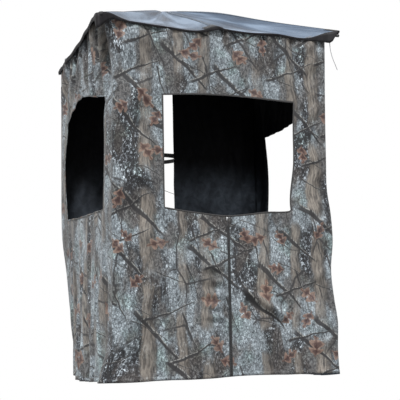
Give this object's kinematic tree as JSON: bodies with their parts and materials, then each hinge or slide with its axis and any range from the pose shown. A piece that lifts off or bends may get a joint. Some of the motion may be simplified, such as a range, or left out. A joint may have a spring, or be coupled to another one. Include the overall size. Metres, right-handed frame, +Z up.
{
  "type": "tree stand blind",
  "caption": "Camouflage cabin blind with a rib roof that straps to a tree, with windows on the front and sides, a zipped front entrance and rear flaps around the trunk.",
  "frame": {"origin": "on the tree's axis at the middle of the upper strap", "axes": "+Z up along the trunk, the front of the blind faces -Y, +X to the right seen from the front"},
  "size_m": [1.3919, 1.3745, 2.288],
  "materials": {
    "camo": "printed woven polyester",
    "roof_cloth": "satin coated nylon",
    "webbing": "woven polypropylene",
    "zipper": "coil zipper",
    "steel": "powder coat",
    "hardware": "zinc plated",
    "plastic": "moulded nylon",
    "rubber": "matt",
    "cord": "braided cord"
  },
  "bodies": {
    "root": {"tree_bracket": "steel", "bracket_pads": "rubber", "roof_hub": "steel", "hub_crown": "plastic", "pivot_bolts": "hardware", "rear_bar": "steel", "rear_bar_caps": "plastic", "upper_strap": "webbing", "upper_buckle_frame": "hardware", "lower_strap": "webbing", "lower_buckle_frame": "hardware", "rear_cross_strap": "webbing", "roof_canopy": "roof_cloth", "front_wall": "camo", "side_wall_left": "camo", "side_wall_right": "camo", "rear_gable_left": "camo", "rear_gable_right": "camo", "corner_tie_cord": "cord"},
    "door_left": {"door_left": "camo", "zipper_tape_left": "zipper"},
    "door_right": {"door_right": "camo", "zipper_tape_right": "zipper"},
    "zipper_slider": {"zipper_slider": "hardware"},
    "zipper_pull": {"zipper_pull": "plastic"},
    "front_flap_left": {"front_flap_left": "camo"},
    "front_flap_right": {"front_flap_right": "camo"},
    "side_flap_left": {"side_flap_left": "camo"},
    "side_flap_right": {"side_flap_right": "camo"},
    "rear_flap_left": {"rear_flap_left": "camo"},
    "rear_flap_right": {"rear_flap_right": "camo", "slot_tie_cord": "cord"},
    "upper_buckle_lever": {"upper_buckle_lever": "hardware"},
    "lower_buckle_lever": {"lower_buckle_lever": "hardware"},
    "rib_centre": {"rib_root_centre": "plastic", "rib_tube_centre": "steel", "rib_tip_centre": "plastic"},
    "clamp_knob_centre": {"clamp_knob_centre": "plastic"},
    "rib_left": {"rib_root_left": "plastic", "rib_tube_left": "steel", "rib_tip_left": "plastic"},
    "clamp_knob_left": {"clamp_knob_left": "plastic"},
    "rib_right": {"rib_root_right": "plastic", "rib_tube_right": "steel", "rib_tip_right": "plastic"},
    "clamp_knob_right": {"clamp_knob_right": "plastic"}
  },
  "joints": [
    {"name": "rib_fold_centre", "type": "hinge", "parent": "root", "child": "rib_centre", "pos_m": [0, -0.213, 0.034], "axis": [-1, 0, 0], "range_deg": [-69, 0], "deforming": ["roof_canopy", "front_wall", "side_wall_left", "side_wall_right"]},
    {"name": "clamp_knob_turn_centre", "type": "hinge", "parent": "root", "child": "clamp_knob_centre", "pos_m": [0, -0.213, 0.034], "axis": [-1, 0, 0], "continuous": true},
    {"name": "rib_fold_left", "type": "hinge", "parent": "root", "child": "rib_left", "pos_m": [-0.0693, -0.215, 0.034], "axis": [-0.8543, 0.5198, 0], "range_deg": [-69, 0], "deforming": ["roof_canopy", "front_wall", "side_wall_left", "side_wall_right"]},
    {"name": "clamp_knob_turn_left", "type": "hinge", "parent": "root", "child": "clamp_knob_left", "pos_m": [-0.0693, -0.215, 0.034], "axis": [-0.8543, 0.5198, 0], "continuous": true},
    {"name": "rib_fold_right", "type": "hinge", "parent": "root", "child": "rib_right", "pos_m": [0.0693, -0.215, 0.034], "axis": [-0.8543, -0.5198, 0], "range_deg": [-69, 0], "deforming": ["roof_canopy", "front_wall", "side_wall_left", "side_wall_right"]},
    {"name": "clamp_knob_turn_right", "type": "hinge", "parent": "root", "child": "clamp_knob_right", "pos_m": [0.0693, -0.215, 0.034], "axis": [-0.8543, -0.5198, 0], "continuous": true},
    {"name": "door_swing_left", "type": "hinge", "parent": "root", "child": "door_left", "pos_m": [-0.335, -1.174, -1.75], "axis": [0, 0, -1], "range_deg": [0, 110]},
    {"name": "door_swing_right", "type": "hinge", "parent": "root", "child": "door_right", "pos_m": [0.375, -1.174, -1.75], "axis": [0, 0, 1], "range_deg": [0, 110]},
    {"name": "zipper_run", "type": "slide", "parent": "door_left", "child": "zipper_slider", "axis": [0, 0, -1], "range_m": [0, 0.8]},
    {"name": "zipper_pull_swing", "type": "hinge", "parent": "zipper_slider", "child": "zipper_pull", "pos_m": [0.0091, -1.1831, -1.367], "axis": [-1, 0, 0], "range_deg": [0, 150]},
    {"name": "front_flap_swing_left", "type": "hinge", "parent": "door_left", "child": "front_flap_left", "pos_m": [-0.15, -1.166, -1.353], "axis": [1, 0, 0], "range_deg": [0, 178]},
    {"name": "front_flap_swing_right", "type": "hinge", "parent": "door_right", "child": "front_flap_right", "pos_m": [0.2, -1.166, -1.353], "axis": [1, 0, 0], "range_deg": [0, 178]},
    {"name": "side_flap_swing_left", "type": "hinge", "parent": "root", "child": "side_flap_left", "pos_m": [-0.62875, -0.67492, -1.309], "axis": [0.0215, -0.9998, 0], "range_deg": [0, 178]},
    {"name": "side_flap_swing_right", "type": "hinge", "parent": "root", "child": "side_flap_right", "pos_m": [0.62875, -0.67492, -1.309], "axis": [0.0215, 0.9998, 0], "range_deg": [0, 178]},
    {"name": "rear_flap_swing_left", "type": "hinge", "parent": "root", "child": "rear_flap_left", "pos_m": [-0.646, -0.1065, -1.28], "axis": [0, 0, -1], "range_deg": [0, 72]},
    {"name": "rear_flap_swing_right", "type": "hinge", "parent": "root", "child": "rear_flap_right", "pos_m": [0.646, -0.1065, -1.28], "axis": [0, 0, 1], "range_deg": [0, 72]},
    {"name": "upper_buckle_release", "type": "hinge", "parent": "root", "child": "upper_buckle_lever", "pos_m": [-0.1467, -0.008, 0], "axis": [0, 0, 1], "range_deg": [0, 60], "stiffness_Nm_per_rad": 0.4, "springref_deg": -8.59},
    {"name": "lower_buckle_release", "type": "hinge", "parent": "root", "child": "lower_buckle_lever", "pos_m": [-0.1467, -0.008, -0.844], "axis": [0, 0, 1], "range_deg": [0, 60], "stiffness_Nm_per_rad": 0.4, "springref_deg": -8.59}
  ],
  "couplings": [
    {"joint": "rib_fold_left", "follows": "rib_fold_centre", "ratio": 1},
    {"joint": "rib_fold_right", "follows": "rib_fold_centre", "ratio": 1}
  ]
}
